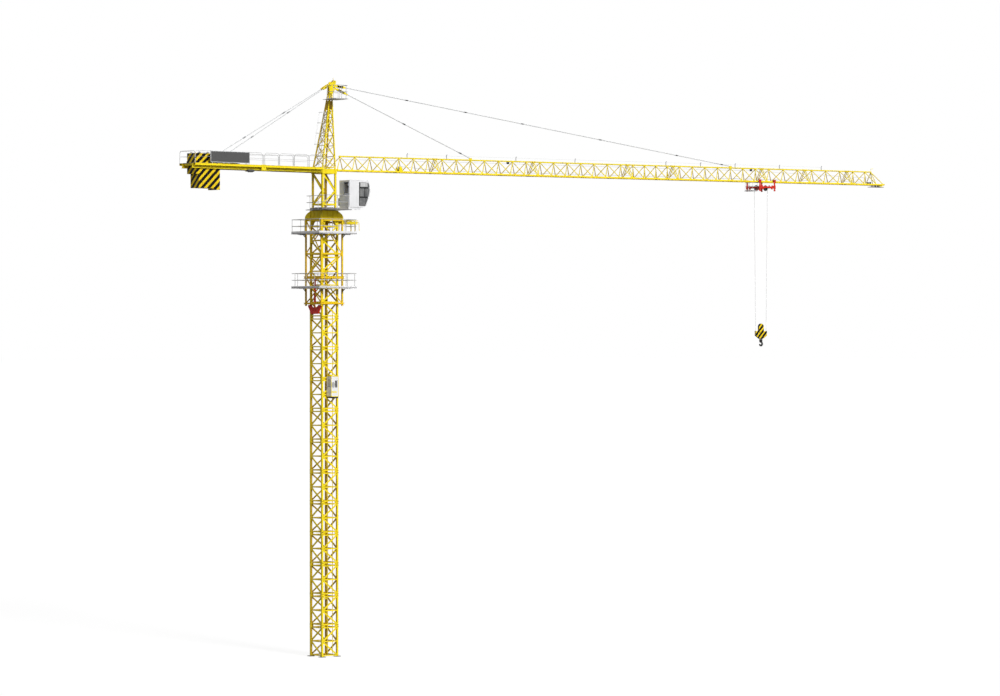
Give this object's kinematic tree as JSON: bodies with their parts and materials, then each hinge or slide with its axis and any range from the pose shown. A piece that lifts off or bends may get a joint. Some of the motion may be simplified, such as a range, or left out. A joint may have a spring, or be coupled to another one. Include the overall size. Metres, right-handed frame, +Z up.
{
  "type": "tower crane, 1:2 scale model",
  "caption": "Hammerhead tower crane with lattice mast, climbing cage, slewing top, cab, tied jib with trolley and hook, and counter-jib with ballast.",
  "frame": {"origin": "centre of the mast on the ground, at the centre of the anchor bolts and under the slewing axis", "axes": "+X out along the jib at rest, +Y to the left of the jib, +Z up the mast"},
  "size_m": [38.5796, 2.175, 23.488],
  "materials": {
    "yellow_paint": "gloss paint, lightly weathered",
    "white_paint": "satin paint",
    "grey_paint": "satin paint",
    "dark_paint": "matt paint, dusty",
    "red_paint": "gloss paint",
    "dark_steel": "oily dark steel",
    "stripe_paint": "hazard stripes in gloss paint",
    "blue_paint": "gloss paint",
    "glass": "tinted glass"
  },
  "bodies": {
    "tower": {"anchor_feet": "dark_paint", "mast_side_frames": "yellow_paint", "mast_cross_bracing": "yellow_paint", "turntable_support": "yellow_paint", "cage_side_frames": "yellow_paint", "cage_cross_bracing": "yellow_paint", "cage_platforms": "dark_paint", "cage_railings": "white_paint", "loading_rail": "yellow_paint", "climbing_cylinder": "red_paint", "lift_rails": "white_paint"},
    "upperworks": {"slewing_ring": "dark_paint", "turntable": "yellow_paint", "slewing_deck": "dark_paint", "slewing_railing": "white_paint", "slewing_tower_frames": "yellow_paint", "slewing_tower_bracing": "yellow_paint", "heel_frame": "yellow_paint", "head_side_frames": "yellow_paint", "head_cross_bracing": "yellow_paint", "head_cap": "yellow_paint", "head_platform": "dark_paint", "head_railing": "white_paint", "head_ladder": "grey_paint", "jib_lower_chords": "yellow_paint", "jib_top_chord": "yellow_paint", "jib_sides": "yellow_paint", "jib_floor_bracing": "yellow_paint", "jib_nose": "yellow_paint", "ties": "grey_paint", "tie_links": "yellow_paint", "counter_jib_frame": "yellow_paint", "counter_jib_deck": "dark_paint", "counter_jib_railing": "white_paint", "blank_board": "white_paint", "counterweights": "stripe_paint", "winch_frame": "blue_paint", "winch_drum": "blue_paint", "trolley_winch": "blue_paint", "cab_frame": "yellow_paint", "cab_floor_and_roof": "white_paint", "cab_side_walls": "white_paint", "cab_rear_wall": "grey_paint", "cab_front_bar": "dark_paint", "cab_glass": "glass"},
    "cab_door": {"cab_door": "grey_paint", "cab_door_glass": "glass"},
    "trolley": {"trolley_side_frames": "red_paint", "trolley_cross_beams": "red_paint", "trolley_wheels": "dark_steel", "trolley_sheaves": "dark_steel", "trolley_basket": "dark_paint", "basket_railing": "white_paint", "hoist_ropes": "dark_steel"},
    "hook_block": {"hook_block": "stripe_paint", "hook_block_sheaves": "dark_steel"},
    "hook": {"hook": "dark_steel"},
    "lift_car": {"lift_car": "white_paint"},
    "climbing_crosshead": {"climbing_crosshead": "red_paint"}
  },
  "joints": [
    {"name": "slew", "type": "hinge", "parent": "tower", "child": "upperworks", "pos_m": [0, 0, 18.083], "axis": [0, 0, 1], "range_deg": [-540, 540]},
    {"name": "cab_door", "type": "hinge", "parent": "upperworks", "child": "cab_door", "pos_m": [0.356, -1.18, 18.74], "axis": [0, 0, 1], "range_deg": [0, 88]},
    {"name": "trolley", "type": "slide", "parent": "upperworks", "child": "trolley", "axis": [1, 0, 0.008], "range_m": [-22.25, 6.6]},
    {"name": "hoist", "type": "slide", "parent": "trolley", "child": "hook_block", "axis": [0, 0, 1], "range_m": [-12.2, 5.6], "deforming": ["hoist_ropes"]},
    {"name": "hook_swivel", "type": "hinge", "parent": "hook_block", "child": "hook", "pos_m": [24.2592, 0, 12.9], "axis": [0, 0, 1], "continuous": true},
    {"name": "lift", "type": "slide", "parent": "tower", "child": "lift_car", "axis": [0, 0, 1], "range_m": [-10.38, 2.5]},
    {"name": "climb", "type": "slide", "parent": "tower", "child": "climbing_crosshead", "axis": [0, 0, -1], "range_m": [0, 0.72]}
  ]
}
